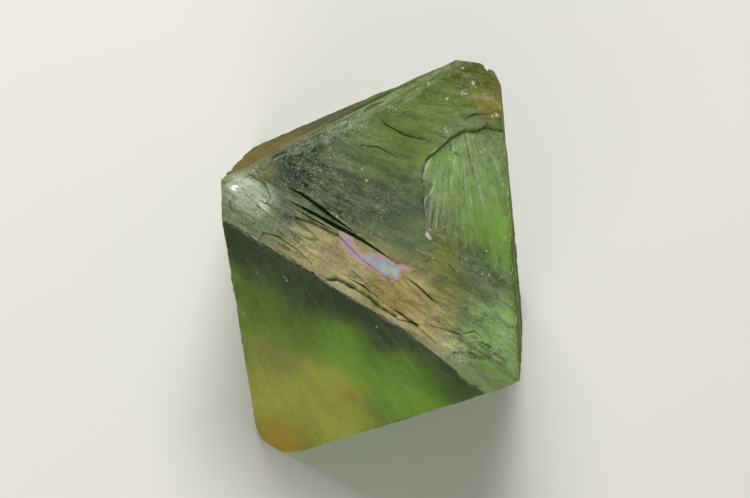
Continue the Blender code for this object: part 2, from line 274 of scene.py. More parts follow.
# The crystal's colours as they look, from 0 to 255.
PALETTE = {
    "white bruise": (190, 202, 182),
    "mist": (118, 124, 108),
    "slate": (60, 68, 52),
    "grey green": (84, 95, 72),
    "moss": (102, 114, 84),
    "leaf": (94, 108, 60),
    "pale leaf": (124, 145, 90),
    "bright leaf": (119, 151, 76),
    "sea green": (127, 154, 97),
    "olive": (114, 115, 64),
    "dark olive": (88, 88, 44),
    "brown olive": (128, 108, 58),
    "straw": (192, 187, 140),
    "tan": (167, 154, 110),
    "ochre": (164, 142, 88),
    # A painted shade colour: the front's dark band under the ridge.
    "painted ridge shade": (47, 51, 24),
    "forest": (79, 98, 44),
    "grass": (101, 133, 54),
    "honey": (136, 136, 64),
    "amber": (142, 116, 60),
}

# A small facet that is tilted to the left and catches the light: its place, how far to the right of that
# its slope starts, the slope's length and steepness, and where it fades out up and down the face, in mm.
GLINT = (-20.3, -8.6)
GLINT_START = 0.5
GLINT_LENGTH = 0.8
GLINT_SLOPE = 0.3
GLINT_BORDER = (0.4, 0.8)

# The colours of the marks on the surface, as they look.
MARK_COLOURS = {
    "milk": (176, 184, 158),
    "painted rim highlight": (176, 184, 150),
    "dark rim": (96, 102, 84),
    "chalk_and_lip_highlight": (172, 172, 128),
    "crack": (44, 48, 34),
    "frost_and_sparkle": (206, 212, 190),
    "fleck": (232, 236, 222),
}

# Soft zones of colour: the face, the place, the reach in mm, and the colour.
ZONES = [
    # The top face's zones are partly painted light: its grey patches stand for the grey haze of its sheen,
    # and it is greyer and darker towards the left and brighter towards the right as the light falls.
    ("top", (-17.8, -8.4), 1.8, "white bruise"),
    ("top", (-18.5, -11.6), 1.6, "moss"),
    ("top", (-18.8, -4.0), 1.6, "olive"),
    ("top", (-15.8, 1.6), 1.8, "grey green"),
    ("top", (-16, 0), 3.0, "slate"),
    ("top", (-13.5, -2.4), 2.8, "slate"),
    ("top", (-8, -2), 4.0, "grey green"),
    ("top", (-13, -9), 2.4, "moss"),
    ("top", (-12, 4.7), 3.0, "moss"),
    ("top", (-5.5, 12), 3.8, "leaf"),
    ("top", (-7, 6), 3.0, "leaf"),
    ("top", (2.2, 21.5), 1.8, "brown olive"),
    ("top", (-0.5, 23.5), 2.0, "dark olive"),
    ("top", (-2, 21), 2.4, "dark olive"),
    ("top", (-4.5, 17.5), 2.8, "leaf"),
    ("top", (-1, 14), 1.6, "moss"),
    ("top", (3, 9.5), 3.8, "pale leaf"),
    ("top", (11, 4.5), 3.2, "bright leaf"),
    ("top", (-2, 2), 3.0, "grey green"),
    ("top", (2, -2.5), 2.2, "moss"),
    ("top", (10, -0.5), 2.4, "grey green"),
    ("top", (6.5, -2.4), 2.6, "olive"),
    ("top", (9.3, -5.0), 2.0, "olive"),
    ("top", (-8.5, -10.5), 3.2, "tan"),
    ("top", (-2.5, -10.3), 3.0, "tan"),
    ("top", (4, -10), 3.2, "ochre"),
    ("top", (9, -10.5), 2.6, "tan"),
    ("top", (-9, -13.4), 1.3, "straw"),
    ("top", (-2, -13.4), 1.3, "straw"),
    ("top", (5, -14.0), 1.3, "straw"),
    ("top", (10.8, -14.5), 1.4, "straw"),
    ("top", (15.5, -13.8), 2.0, "sea green"),
    ("top", (12.6, -4.0), 1.8, "moss"),
    ("top", (6.0, -7.3), 1.3, "tan"),
    ("top", (13.3, -12.4), 1.4, "straw"),
    ("top", (-8, -1.8), 1.8, "slate"),
    ("top", (-13.0, -9.2), 1.8, "mist"),
    ("top", (16.5, -8.5), 3.6, "sea green"),
    ("top", (18.0, -12.8), 1.8, "leaf"),
    ("left", (15, 1), 6.0, "brown olive"),
    ("left", (6, 2), 4.5, "brown olive"),
    ("left", (5, -10), 6.0, "brown olive"),
    ("left", (-4, 3), 5.0, "dark olive"),
    ("left", (-5, -9), 6.0, "dark olive"),
    ("left", (-14, 2), 6.0, "leaf"),
    ("right", (-14, 6), 5.0, "olive"),
    ("right", (-4, 6), 5.0, "leaf"),
    ("right", (5, 6), 4.0, "tan"),
    ("right", (14, 5), 5.0, "pale leaf"),
    ("right", (-6, -5), 5.0, "honey"),
    ("right", (5, -6), 5.0, "grass"),
    ("right", (0, -14), 6.0, "grey green"),
    # The front's dark band under the ridge is painted shade.
    ("front", (-15, 6.5), 4.8, "painted ridge shade"),
    ("front", (-5, 7), 4.8, "painted ridge shade"),
    ("front", (5, 7.2), 4.4, "painted ridge shade"),
    ("front", (14, 6.2), 4.2, "painted ridge shade"),
    ("front", (-14.4, 1.5), 1.3, "leaf"),
    ("front", (-12.0, -3.2), 1.3, "leaf"),
    ("front", (-10, -0.5), 4.2, "forest"),
    ("front", (-4, -1), 3.4, "forest"),
    ("front", (1.5, 0.8), 3.2, "grass"),
    ("front", (11, 1.2), 4.2, "grass"),
    ("front", (-5.4, -7.0), 3.4, "olive"),
    ("front", (5.5, -6.4), 1.0, "brown olive"),
    ("front", (1.5, -8), 4.0, "honey"),
    ("front", (5, -12.5), 3.6, "honey"),
    ("front", (-3, -14), 4.0, "honey"),
    ("front", (1, -20), 2.6, "amber"),
]
FACE_COLOUR = {"top": "moss", "front": "forest", "left": "leaf", "right": "leaf"}
HIDDEN_COLOURS = ("leaf", "forest", "pale leaf", "grey green", "olive", "honey", "tan")
ZONES_PER_HIDDEN_FACE = 9

# The iridescent film in a crack under the top face: its outline, its width and how far its border wanders, in
# mm. Its colours, a painted reflection of the light that the thin film gives back, go along it over
# FILM_LENGTH mm, shifted by a share of that, and from rim to middle.
FILM = [
    (-6.5, -6.4), (-5.6, -5.9), (-4.8, -6.0), (-3.6, -6.8), (-2.3, -7.0), (-1.5, -6.5), (0.3, -6.2),
    (2.2, -6.1), (4.3, -5.2), (4.6, -5.5), (3.7, -6.4), (3.2, -7.2), (3.2, -8.6), (2.0, -8.9),
    (1.1, -9.0), (-0.2, -8.9), (-1.7, -8.8), (-3.2, -8.7), (-4.7, -8.4), (-5.7, -7.8), (-6.3, -6.9),
]
FILM_WIDTH = 1.5
FILM_WANDER = 0.9
FILM_LENGTH = 9.6
FILM_SHIFT = 0.69
FILM_COLOURS = [
    (0.0, (244, 190, 146)),
    (0.16, (246, 192, 182)),
    (0.32, (232, 194, 220)),
    (0.5, (208, 206, 240)),
    (0.68, (198, 226, 250)),
    (0.84, (210, 242, 230)),
    (1.0, (230, 246, 196)),
]

# How much of a face's colour comes back to the eye, and the haze that its satin surface adds, as shares
# of full white light. The darkest colour keeps a trace of light, and the main colour a weight of its own.
FACE_RETURN = {"top": 0.5, "front": 0.385, "left": 0.62}
FACE_HAZE = {"top": 0.03, "front": 0.026, "left": 0.05}
OTHER_RETURN = 0.45
OTHER_HAZE = 0.026
DARKEST = 0.0004
BASE_WEIGHT = 0.08

NOISE_CELLS = 256

# Fluorite's refractive index, the share of light that passes the surface, the strength of its gloss, the
# absorption inside, per metre, and the height of the finest relief in mm.
FLUORITE_IOR = 1.434
TRANSMISSION = 0.62
SPECULAR = 0.16
ABSORPTION = (0.38, 0.82, 0.05, 1)
ABSORPTION_DENSITY = 100.0
BUMP_HEIGHT = 0.16

FLOOR_RADIUS = 3.0
SENSOR_WIDTH = 36


def direction(heading, elevation):
    """Unit vector at a heading and an elevation in degrees."""
    flat = math.cos(math.radians(elevation))
    return Vector((
        flat * math.cos(math.radians(heading)),
        flat * math.sin(math.radians(heading)),
        math.sin(math.radians(elevation)),
    ))


def face_axes(name):
    """A face's axes as rows: level across it, up its slope, and out of it."""
    normal = direction(*FACES[name][:2])
    across = Vector((-normal.y, normal.x, 0))
    if across.length < 1e-6:
        across = Vector((1, 0, 0))
    across.normalize()
    return np.array([across, normal.cross(across), normal])


AXES = {name: face_axes(name) for name in FACES}
FACE_NAMES = list(FACES)
BROKEN = len(FACE_NAMES)


def own_face(normal):
    """The face that a flat region belongs to, or None for a ledge's wall or a worn flat."""
    name = max(FACE_NAMES, key=lambda item: AXES[item][2] @ normal)
    return name if AXES[name][2] @ normal > SAME_FACE else None


def on_face(places, name):
    """Places in the crystal as places on a face: (across, up the slope, above the face)."""
    local = (places - CENTRE) @ AXES[name].T
    return local[:, 0], local[:, 1], local[:, 2] - FACES[name][2]


# ---------------------------------------------------------------- numbers over a face

def noise(x, y, seed):
    """Smooth noise from 0 to 1, with about one bump a unit."""
    values = np.random.default_rng(seed).random((NOISE_CELLS, NOISE_CELLS))
    column, row = np.floor(x).astype(int), np.floor(y).astype(int)
    right, up = x - column, y - row
    right, up = right * right * (3 - 2 * right), up * up * (3 - 2 * up)
    left_column, right_column = column % NOISE_CELLS, (column + 1) % NOISE_CELLS
    low, high = row % NOISE_CELLS, (row + 1) % NOISE_CELLS
    bottom = values[low, left_column] * (1 - right) + values[low, right_column] * right
    top = values[high, left_column] * (1 - right) + values[high, right_column] * right
    return bottom * (1 - up) + top * up


def cloudy(x, y, seed):
    """Noise with finer and fainter bumps added."""
    return (
        0.55 * noise(x, y, seed)
        + 0.3 * noise(2.1 * x + 7, 2.1 * y - 3, seed + 1)
        + 0.15 * noise(4.3 * x - 5, 4.3 * y + 11, seed + 2)
    )


def ease(value, start, end):
    """0 before start, 1 after end and smooth between them."""
    share = np.clip((value - start) / (end - start), 0, 1)
    return share * share * (3 - 2 * share)


def distance_to_line(x, y, line):
    """How far places are from a line through several points."""
    nearest = np.full(len(x), 1e9)
    for (x0, y0), (x1, y1) in zip(line, line[1:]):
        run, rise = x1 - x0, y1 - y0
        share = np.clip(((x - x0) * run + (y - y0) * rise) / (run * run + rise * rise), 0, 1)
        nearest = np.minimum(nearest, np.hypot(x - x0 - share * run, y - y0 - share * rise))
    return nearest


def inside_outline(x, y, outline):
    """Which places are inside a closed outline."""
    crossings = np.zeros(len(x), int)
    for (x0, y0), (x1, y1) in zip(outline, outline[1:] + outline[:1]):
        if y0 != y1:
            crossings += ((y0 > y) != (y1 > y)) & (x < x0 + (y - y0) * (x1 - x0) / (y1 - y0))
    return crossings % 2 == 1


def bundle(name, x, y):
    """Which bundle of the cleavage each place is in, and how far it is from the next one, in mm."""
    number, gap = np.full(len(x), MIDDLE), np.full(len(x), FAR)
    if name != "top":
        return number, gap
    line = np.array(PARTING[::-1])
    past = x - np.interp(y, line[:, 1], line[:, 0])
    above = y + 1.5 - 3 * cloudy(x / 2.5, y / 2.5, 57)
    turn = math.radians(EDGE_HEADING)
    inward = x * math.sin(turn) - y * math.cos(turn)
    beside = EDGE_SPLIT - 2.4 * cloudy(x / 2.5, y / 2.5, 55) - inward
    number = np.where(beside > 0, LEFT_EDGE, np.where((past > 0) & (above > 0), RIGHT, MIDDLE))
    return number, np.minimum(np.abs(beside), np.where(past > 0, np.abs(above), FAR))


def grain(name, number, x, y):
    """Distances along a bundle's fibres and across them, in mm."""
    if number == LEFT_EDGE:
        turn = math.radians(EDGE_HEADING)
        return x * math.cos(turn) + y * math.sin(turn) + 400, y * math.cos(turn) - x * math.sin(turn)
    (cx, cy), (mx, my) = FANS[name], (0, 0)
    if number == RIGHT:
        (cx, cy), (mx, my) = FAN_RIGHT_OF_PARTING, MIDDLE_RIGHT_OF_PARTING
    angle = np.arctan2(y - cy, x - cx) - math.atan2(my - cy, mx - cx)
    angle = (angle + math.pi) % (2 * math.pi) - math.pi
    return np.hypot(x - cx, y - cy) + 200 * number, angle * math.hypot(mx - cx, my - cy)


def slates(along, across, width, length, depth, seed):
    """Depths in mm of ledges that overlap along the grain, and how near each place is to a ledge's lip."""
    wander = 1.9 * cloudy(along / length, across / (3.2 * width), seed)
    order = across / width + wander
    ledge = np.floor(order)
    share = order - ledge
    strength = ease(cloudy(along / length + 17.3 * ledge, 5.7 * ledge, seed + 5), 0.4, 0.66)
    return depth * strength * share, strength * ease(share, 0.72, 0.96)


def roughness_of_place(name, x, y):
    """How deep the ledges are at places on a face, about 1."""
    amount = 0.5 + 0.5 * noise(x / 5, y / 5, 91 + FACE_NAMES.index(name))
    for face, (px, py), reach, extra in ROUGH_PLACES:
        if face == name:
            amount = amount + extra * np.exp(-((x - px) ** 2 + (y - py) ** 2) / reach ** 2)
    return amount


def glint_facet(x, y):
    """Depth in mm of the small facet that catches the light."""
    slope = GLINT_SLOPE * np.clip(GLINT[0] + GLINT_START - x, 0, GLINT_LENGTH)
    return slope * (1 - ease(np.abs(y - GLINT[1]), *GLINT_BORDER))


def relief(name, x, y):
    """Depth below a face in mm at places on it, and how lip-like, how dark and how white they are."""
    number, gap = bundle(name, x, y)
    along, across = np.zeros(len(x)), np.zeros(len(x))
    for fibres in (MIDDLE, RIGHT, LEFT_EDGE):
        here = number == fibres
        along[here], across[here] = grain(name, fibres, x[here], y[here])
    seed = 100 + 10 * FACE_NAMES.index(name)
    strength = FACE_RELIEF.get(name, OTHER_RELIEF)
    amount = roughness_of_place(name, x, y) * strength * ease(gap, 0, BUNDLE_BORDER)
    depth = SWELL_DEPTH * cloudy(x / 6, y / 6, seed + 3) * min(1, strength + 0.2)
    lip = np.zeros(len(x))
    for i, (width, length, deep) in enumerate(SLATES):
        step, edge = slates(along, across, width, length, deep, seed + 17 * i)
        depth = depth + amount * step
        lip = np.maximum(lip, amount * edge)
    dark, white = np.zeros(len(x)), np.zeros(len(x))
    wander = 0.5 * (cloudy(x * 1.3, y * 1.3, seed + 40) - 0.5)
    for face, width, deep, how_dark, how_white, line in CRACKS:
        if face != name:
            continue
        off = distance_to_line(x, y, line) + wander
        there = (1 - ease(off, 0.1 * width, width)) * ease(noise(x * 1.7, y * 1.7, seed + 44), 0.12, 0.5)
        depth = depth + deep * there
        dark = np.maximum(dark, how_dark * there)
        white = np.maximum(white, how_white * there)
    for face, (px, py), reach, how_white in BRUISES:
        if face == name:
            far = np.hypot(x - px, y - py) + 0.5 * reach * (cloudy(x * 1.5, y * 1.5, seed + 60) - 0.5)
            white = np.maximum(white, how_white * (1 - ease(far, 0.5 * reach, 1.2 * reach)))
    if name == "top":
        depth = depth + glint_facet(x, y)
    return depth, lip, dark, white


# ---------------------------------------------------------------- the fine mesh

def flat_regions(solid):
    """Groups of the solid's faces that lie in one plane, the largest first."""
    taken = set()
    regions = []
    for seed in sorted(solid.faces, key=lambda face: -face.calc_area()):
        if seed in taken:
            continue
        taken.add(seed)
        region = [seed]
        for face in region:
            for edge in face.edges:
                for other in edge.link_faces:
                    if other not in taken and other.normal.angle(seed.normal) < SAME_PLANE:
                        taken.add(other)
                        region.append(other)
        regions.append(region)
    return regions


class Points:
    """The fine mesh's points, shared along the edges between regions."""

    def __init__(self):
        self.places = []
        self.of_corner = {}
        self.of_edge = {}

    def add(self, place):
        """A new point's number."""
        self.places.append(place)
        return len(self.places) - 1

    def corner(self, vertex):
        """The number of the point on one of the solid's corners."""
        if vertex not in self.of_corner:
            self.of_corner[vertex] = self.add(np.array(vertex.co) / MM)
        return self.of_corner[vertex]

    def along(self, edge, step):
        """The points on an edge between two regions, from one end to the other."""
        if edge not in self.of_edge:
            first, last = (self.corner(vertex) for vertex in edge.verts)
            start, end = self.places[first], self.places[last]
            pieces = max(1, round(np.linalg.norm(end - start) / step))
            inner = [self.add(start + (end - start) * i / pieces) for i in range(1, pieces)]
            self.of_edge[edge] = [first, *inner, last]
        return self.of_edge[edge]


def lattice(low, high, step, rng):
    """A loose triangular lattice of points over a rectangle."""
    rows = int((high[1] - low[1]) / (step * ROW_HEIGHT)) + 1
    columns = int((high[0] - low[0]) / step) + 1
    column, row = np.meshgrid(np.arange(columns), np.arange(rows))
    grid = np.stack([low[0] + (column + 0.5 * (row % 2)) * step, low[1] + row * step * ROW_HEIGHT], -1)
    return grid.reshape(-1, 2) + rng.uniform(-SHAKE, SHAKE, (columns * rows, 2)) * step


def in_top_rim(region):
    """Whether a small flat region lies wholly in the worn rim of the top face."""
    places = np.array([vertex.co for face in region for vertex in face.verts]) / MM
    height = on_face(places, "top")[2]
    return height.min() > -TOP_RIM and height.max() < -TOP_MARGIN and region[0].normal.z < SAME_FACE


def region_step(name):
    """The distance between mesh points on a face, or on a broken region, in mm."""
    return FACES[name][3] if name else BROKEN_STEP


def inside_rim(triangles, rim):
    """Which triangles are on the inner side of the rim's directed edges, judged patch by patch."""
    border = {frozenset(pair) for pair in rim}
    shared = {}
    verdicts = np.zeros(len(triangles), int)
    for i, corners in enumerate(triangles):
        for start, end in zip(corners, corners[1:] + corners[:1]):
            if frozenset((start, end)) in border:
                verdicts[i] += 1 if (start, end) in rim else -1
            else:
                shared.setdefault(frozenset((start, end)), []).append(i)
    neighbours = [[] for _ in triangles]
    for pair in shared.values():
        for i in pair:
            neighbours[i] += pair
    kept = np.zeros(len(triangles), bool)
    seen = np.zeros(len(triangles), bool)
    for start in range(len(triangles)):
        if seen[start]:
            continue
        seen[start] = True
        patch = [start]
        for i in patch:
            for other in neighbours[i]:
                if not seen[other]:
                    seen[other] = True
                    patch.append(other)
        kept[patch] = verdicts[patch].sum() > 0
    return kept


def fill(region, name, points, steps, rng):
    """Triangles over one flat region: its rim's points, and a lattice inside it."""
    members = set(region)
    rim = set()
    for face in region:
        for loop in face.loops:
            if any(other not in members for other in loop.edge.link_faces):
                chain = points.along(loop.edge, steps[loop.edge])
                if chain[0] != points.corner(loop.vert):
                    chain = chain[::-1]
                rim.update(zip(chain, chain[1:]))
    ids = sorted({index for pair in rim for index in pair})
    local = {index: i for i, index in enumerate(ids)}

    normal = np.array(region[0].normal)
    side = np.cross(normal, (0, 0, 1) if abs(normal[2]) < 0.9 else (1, 0, 0))
    side /= np.linalg.norm(side)
    flat = np.array([side, np.cross(normal, side)])
    outline = np.array([points.places[index] for index in ids])
    depth = outline[0] @ normal
    outline = outline @ flat.T

    tree = BVHTree.FromPolygons(
        [(*(flat @ (np.array(vertex.co) / MM)), 0) for face in region for vertex in face.verts],
        [tuple(range(3 * i, 3 * i + 3)) for i in range(len(region))],
    )
    near = KDTree(len(ids))
    for i, (x, y) in enumerate(outline):
        near.insert((x, y, 0), i)
    near.balance()
    step = region_step(name)
    inner = []
    for x, y in lattice(outline.min(0), outline.max(0), step, rng):
        if tree.find_nearest((x, y, 0), 1e-4)[0] and near.find((x, y, 0))[2] > MIN_GAP * step:
            inner.append((x, y))
    flat_points = [Vector(place) for place in [*outline, *inner]]
    borders = [(local[start], local[end]) for start, end in rim]
    _, _, triangles, sources, _, _ = delaunay_2d_cdt(flat_points, borders, [], 0, 1e-7, True)
    ids += [points.add(np.array(place) @ flat + depth * normal) for place in inner]
    triangles = [tuple(ids[min(sources[i])] for i in corners) for corners in triangles]
    kept = inside_rim(triangles, rim)
    return [corners for corners, keep in zip(triangles, kept) if keep]


def fine_triangles():
    """The solid's surface as fine triangles: points in mm, triangles, and the face that each is on."""
    solid = bmesh.new()
    solid.from_mesh(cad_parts[NODE].data)
    bmesh.ops.remove_doubles(solid, verts=solid.verts, dist=1e-8)
    bmesh.ops.triangulate(solid, faces=solid.faces)
    regions = flat_regions(solid)
    names = [None if in_top_rim(region) else own_face(np.array(region[0].normal)) for region in regions]
    steps = {}
    for region, name in zip(regions, names):
        for face in region:
            for edge in face.edges:
                steps[edge] = min(steps.get(edge, FAR), region_step(name))
    rng = np.random.default_rng(7)
    points = Points()
    triangles, owners = [], []
    for region, name in zip(regions, names):
        made = fill(region, name, points, steps, rng)
        triangles += made
        owners += [FACE_NAMES.index(name) if name else BROKEN] * len(made)
    solid.free()
    return np.array(points.places), np.array(triangles), np.array(owners)


def linear(colour):
    """A colour from 0 to 255 as it looks, as the red, green and blue that light adds up in."""
    shares = np.array(colour) / 255
    return np.where(shares <= 0.04045, shares / 12.92, ((shares + 0.055) / 1.055) ** 2.4)


def zones_of(name):
    """A face's main colour, and its soft zones: place, reach in mm and colour."""
    zones = [(place, reach, PALETTE[colour]) for face, place, reach, colour in ZONES if face == name]
    if name in FACE_COLOUR:
        return PALETTE[FACE_COLOUR[name]], zones
    rng = np.random.default_rng(40 + FACE_NAMES.index(name))
    for _ in range(ZONES_PER_HIDDEN_FACE):
        place = rng.uniform(-16, 16), rng.uniform(-16, 9)
        zones.append((place, rng.uniform(3.0, 6.0), PALETTE[rng.choice(HIDDEN_COLOURS)]))
    return PALETTE["grass"], zones


def zone_colours(name, x, y):
    """The colour of places on a face, where its soft zones meet in cloudy borders."""
    base, zones = zones_of(name)
    seed = 300 + FACE_NAMES.index(name)
    x = x + 2.2 * (cloudy(x / 2.6, y / 2.6, seed) - 0.5)
    y = y + 2.2 * (cloudy(x / 2.6, y / 2.6, seed + 9) - 0.5)
    total = np.full(len(x), BASE_WEIGHT)
    colours = total[:, None] * linear(base)
    for (px, py), reach, colour in zones:
        weight = np.exp(-((x - px) ** 2 + (y - py) ** 2) / reach ** 2)
        total = total + weight
        colours = colours + weight[:, None] * linear(colour)
    look = colours / total[:, None]
    haze, returned = FACE_HAZE.get(name, OTHER_HAZE), FACE_RETURN.get(name, OTHER_RETURN)
    return np.maximum((look - haze) / returned, DARKEST)


def nearest_face(places, triangles):
    """The face whose plane each triangle's middle is nearest to, with the top face taking its own rim."""
    middles = places[triangles].mean(1)
    return np.argmax([on_face(middles, name)[2] + TOP_RIM * (name == "top") for name in FACE_NAMES], 0)


def chalky_wear(x, edge, front_edge):
    """How chalky the top face is near its edges, most of all along the front one."""
    front = ease(front_edge, -FRONT_CHALK_REACH, 0.0)
    worn = np.maximum(front, OTHER_CHALK * ease(edge, -OTHER_CHALK_REACH, 0.0))
    return worn * (1 - CHALK_FADE * ease(x, *CHALK_FADE_PLACES))


def film_depth(x, y):
    """How deep inside the film places on the top face are: 0 outside it and about 1 along its middle."""
    wander_x = FILM_WANDER * (cloudy(x * 1.6, y * 1.6, 61) - 0.5)
    wander_y = FILM_WANDER * (cloudy(x * 1.6, y * 1.6, 63) - 0.5)
    x, y = x + wander_x, y + wander_y
    return np.where(inside_outline(x, y, FILM), distance_to_line(x, y, FILM + FILM[:1]), 0) * 2 / FILM_WIDTH


def surface_values(name, places, broken_share):
    """Depth below a face in mm at places in the crystal, and what the material reads there."""
    x, y, _ = on_face(places, name)
    depth, lip, dark, white = relief(name, x, y)
    edge = np.max([on_face(places, other)[2] for other in FACE_NAMES if other != name], 0)
    worn, film = np.zeros(len(x)), np.zeros(len(x))
    if name == "top":
        worn = chalky_wear(x, edge, on_face(places, "front")[2])
        film = film_depth(x, y)
        # Painted shade on the groove walls.
        groove_shade = broken_share * (y > GROOVE_FOOT) * ease(-edge, *GROOVE_MARGIN)
        dark = np.maximum(dark, GROOVE_PAINTED_SHADE * groove_shade)
    if name != "rest":
        bites = noise(x * 1.6, y * 1.6, 77 + FACE_NAMES.index(name))
        depth = depth + EDGE_WEAR_DEPTH * ease(edge, -EDGE_WEAR_REACH, 0.0) * bites
    rough = (1 - 0.8 * FACE_SMOOTHNESS.get(name, OTHER_SMOOTHNESS)) * roughness_of_place(name, x, y)
    return depth, {
        "zone": np.column_stack([zone_colours(name, x, y), np.ones(len(x))]),
        "marks": np.stack([lip, dark, white, worn], -1),
        "film": film,
        "rough": rough,
    }


def grain_at_corners(name, places, triangles):
    """The grain at the corners of a face's triangles: along the fibres, across them, and across the face."""
    middle_x, middle_y, _ = on_face(places[triangles].mean(1), name)
    number = np.repeat(bundle(name, middle_x, middle_y)[0], 3)
    x, y, _ = on_face(places[triangles.ravel()], name)
    grains = np.zeros((len(x), 3))
    for fibres in (MIDDLE, RIGHT, LEFT_EDGE):
        here = number == fibres
        along, across = grain(name, fibres, x[here], y[here])
        grains[here] = np.stack([along, across + 40 * FACE_NAMES.index(name), x[here]], -1)
    return grains


def store(mesh, name, values):
    """Stores a number, a place or a colour for every corner of the mesh's triangles."""
    kind, field = {
        1: ("FLOAT", "value"),
        3: ("FLOAT_VECTOR", "vector"),
        4: ("FLOAT_COLOR", "color"),
    }[values.size // len(values)]
    layer = mesh.attributes.new(name, kind, "CORNER")
    layer.data.foreach_set(field, np.ascontiguousarray(values, dtype=np.float32).ravel())


def crystal():
    """The crystal's fine mesh with its relief, its colours and its grain."""
    places, triangles, owners = fine_triangles()
    broken = owners == BROKEN
    owners = np.where(broken, nearest_face(places, triangles), owners)
    corners = triangles.ravel()
    broken_share = np.zeros(len(places))
    np.add.at(broken_share, corners, np.repeat(broken, 3))
    broken_share /= np.bincount(corners, minlength=len(places))
    moved = places.copy()
    values = {
        "zone": np.zeros((len(corners), 4)),
        "marks": np.zeros((len(corners), 4)),
        "grain": np.zeros((len(corners), 3)),
        "film": np.zeros(len(corners)),
        "broken": broken_share[corners],
        "rough": np.zeros(len(corners)),
        "matt": np.zeros(len(corners)),
    }
    for i, name in enumerate(FACE_NAMES):
        used = np.repeat(owners == i, 3)
        own = np.unique(corners[used])
        slot = np.zeros(len(places), int)
        slot[own] = np.arange(len(own))
        depth, looks = surface_values(name, places[own], broken_share[own])
        flat_own = np.unique(corners[np.repeat((owners == i) & ~broken, 3)])
        moved[flat_own] -= depth[slot[flat_own], None] * AXES[name][2]
        for kind, numbers in looks.items():
            values[kind][used] = numbers[slot[corners[used]]]
        values["grain"][used] = grain_at_corners(name, places, triangles[owners == i])
        values["matt"][used] = FACE_MATTNESS.get(name, OTHER_MATTNESS)
    moved = np.clip(moved, np.array(cad_box[0]) / MM, np.array(cad_box[1]) / MM)
    mesh = bpy.data.meshes.new("crystal_surface")
    mesh.from_pydata(moved * MM, [], triangles.tolist())
    for kind, numbers in values.items():
        store(mesh, kind, numbers)
    mesh.shade_smooth()
    mesh.set_sharp_from_angle(angle=SHARP_EDGE)
    piece = bpy.data.objects.new("green_fluorite_octahedron", mesh)
    bpy.context.scene.collection.objects.link(piece)
    return piece


# ---------------------------------------------------------------- materials

class Value:
    """A value in a material's nodes, which Python's operators add Math nodes to."""

    def __init__(self, nodes, socket):
        self.nodes = nodes
        self.socket = socket

    def maths(self, operation, *values, clamp=False):
        """The result of a Math node."""
        settings = {"operation": operation, "use_clamp": clamp}
        return self.nodes.add("ShaderNodeMath", settings, dict(enumerate(values)))

    def __add__(self, other):
        return self.maths("ADD", self, other)

    def __sub__(self, other):
        return self.maths("SUBTRACT", self, other)

    def __rsub__(self, other):
        return self.maths("SUBTRACT", other, self)

    def __mul__(self, other):
        return self.maths("MULTIPLY", self, other)

    def __truediv__(self, other):
        return self.maths("DIVIDE", self, other)

    __radd__ = __add__
    __rmul__ = __mul__

    def clamped(self):
        """The value, kept from 0 to 1."""
        return self.maths("ADD", self, 0.0, clamp=True)

    def eased(self, start, end):
        """0 before start, 1 after end and smooth between them."""
        return self.nodes.add(
            "ShaderNodeMapRange",
            {"interpolation_type": "SMOOTHSTEP"},
            {"Value": self, "From Min": start, "From Max": end},
        )


class Nodes:
    """A material's nodes."""

    def __init__(self, name):
        self.material = bpy.data.materials.new(name)
        self.material.use_nodes = True
        self.tree = self.material.node_tree
        self.tree.nodes.clear()

    def add(self, kind, settings=None, sockets=None, output=0):
        """Adds a node with its settings and its sockets' values or links. Returns an output, if any."""
        node = self.tree.nodes.new(kind)
        for name, value in (settings or {}).items():
            if name == "stops":
                for place, colour in value[1:-1]:
                    node.color_ramp.elements.new(place)
                for element, (place, colour) in zip(node.color_ramp.elements, value):
                    element.position = place
                    element.color = (*colour, 1)
            else:
                setattr(node, name, value)
        by_name = {socket.identifier: socket for socket in node.inputs}
        for name, value in (sockets or {}).items():
            socket = by_name[name] if name in by_name else node.inputs[name]
            if isinstance(value, Value):
                self.tree.links.new(value.socket, socket)
            else:
                socket.default_value = value
        if not node.outputs:
            return None
        by_name = {socket.identifier: socket for socket in node.outputs}
        return Value(self, by_name[output] if output in by_name else node.outputs[output])

    def attribute(self, name, output="Fac"):
        """What the mesh stores under a name."""
        return self.add("ShaderNodeAttribute", {"attribute_name": name}, output=output)

    def noise(self, vector, scale, detail=2.0, roughness=0.5):
        """Cloudy noise from 0 to 1, with about this many bumps a unit."""
        return self.add(
            "ShaderNodeTexNoise",
            {"noise_dimensions": "3D"},
            {"Vector": vector, "Scale": scale, "Detail": detail, "Roughness": roughness},
        )

    def slates(self, vector):
        """Overlapping cells: a chance value from 0 to 1 for each, and a line along their rims."""
        sockets = {"Vector": vector, "Scale": 1.0}
        cell = self.add("ShaderNodeTexVoronoi", {"feature": "F1"}, sockets, "Color")
        rim = self.add("ShaderNodeTexVoronoi", {"feature": "DISTANCE_TO_EDGE"}, sockets)
        return self.split(cell)[0], 1 - rim.eased(0.02, 0.14)

    def stretched(self, vector, x, y, z):
        """A place with its three parts scaled."""
        return self.add("ShaderNodeVectorMath", {"operation": "MULTIPLY"}, {0: vector, 1: (x, y, z)})

    def mix(self, share, first, second, how="MIX"):
        """Two colours mixed by a share."""
        return self.add(
            "ShaderNodeMix",
            {"data_type": "RGBA", "blend_type": how},
            {"Factor_Float": share, "A_Color": first, "B_Color": second},
            "Result_Color",
        )

    def rgb(self, colour):
        """A colour from 0 to 255, as a colour socket takes it."""
        return (*linear(colour), 1)

    def grey(self, value):
        """A value as a grey."""
        return self.add("ShaderNodeCombineColor", None, {"Red": value, "Green": value, "Blue": value})

    def split(self, colour):
        """A colour's red, green and blue."""
        first = self.add("ShaderNodeSeparateColor", None, {"Color": colour})
        return [Value(self, socket) for socket in first.socket.node.outputs]

    def split_place(self, vector):
        """A vector's three parts."""
        first = self.add("ShaderNodeSeparateXYZ", None, {"Vector": vector})
        return [Value(self, socket) for socket in first.socket.node.outputs]

    def finish(self, **shaders):
        """Joins the surface, and a volume if there is one, to the material's output."""
        self.add("ShaderNodeOutputMaterial", None, shaders)
        return self.material


